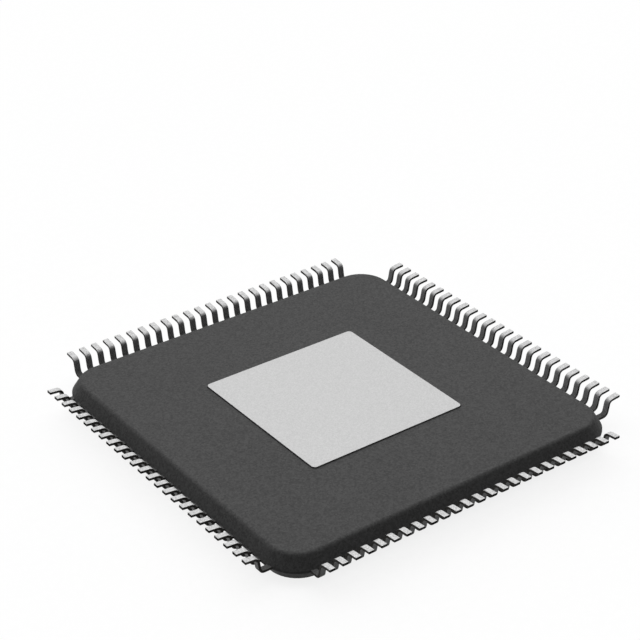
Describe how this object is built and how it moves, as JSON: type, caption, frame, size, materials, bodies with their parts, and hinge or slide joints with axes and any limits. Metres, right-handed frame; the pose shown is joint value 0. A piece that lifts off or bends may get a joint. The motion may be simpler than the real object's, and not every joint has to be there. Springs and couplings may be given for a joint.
{
  "type": "integrated circuit",
  "caption": "Flat square moulded chip package with fine gull-wing leads on all four sides and a bare thermal pad on its soldering side, for surface mounting on a circuit board.",
  "frame": {"origin": "centre of the flat marked face, which the part rests on as it lies in the picture", "axes": "+Z out of the soldering side, towards the feet and the thermal pad; +X and +Y square to the rows of leads, with the pin 1 recess in the marked face at the corner of -X and -Y. The part is turned over to seat on a board."},
  "size_m": [0.0158, 0.0158, 0.0011],
  "materials": {
    "mould_compound": "matte black epoxy mould compound",
    "tin_plated_copper": "matte tin plate",
    "silicon": "sawn and ground",
    "silver_filled_epoxy": "cured paste",
    "gold_wire": "drawn wire"
  },
  "bodies": {
    "root": {"moulded_body": "mould_compound", "thermal_pad": "tin_plated_copper", "leads_right": "tin_plated_copper", "leads_rear": "tin_plated_copper", "leads_left": "tin_plated_copper", "leads_front": "tin_plated_copper", "silicon_die": "silicon", "die_adhesive": "silver_filled_epoxy", "bond_wires_right": "gold_wire", "bond_wires_rear": "gold_wire", "bond_wires_left": "gold_wire", "bond_wires_front": "gold_wire"}
  },
  "joints": []
}
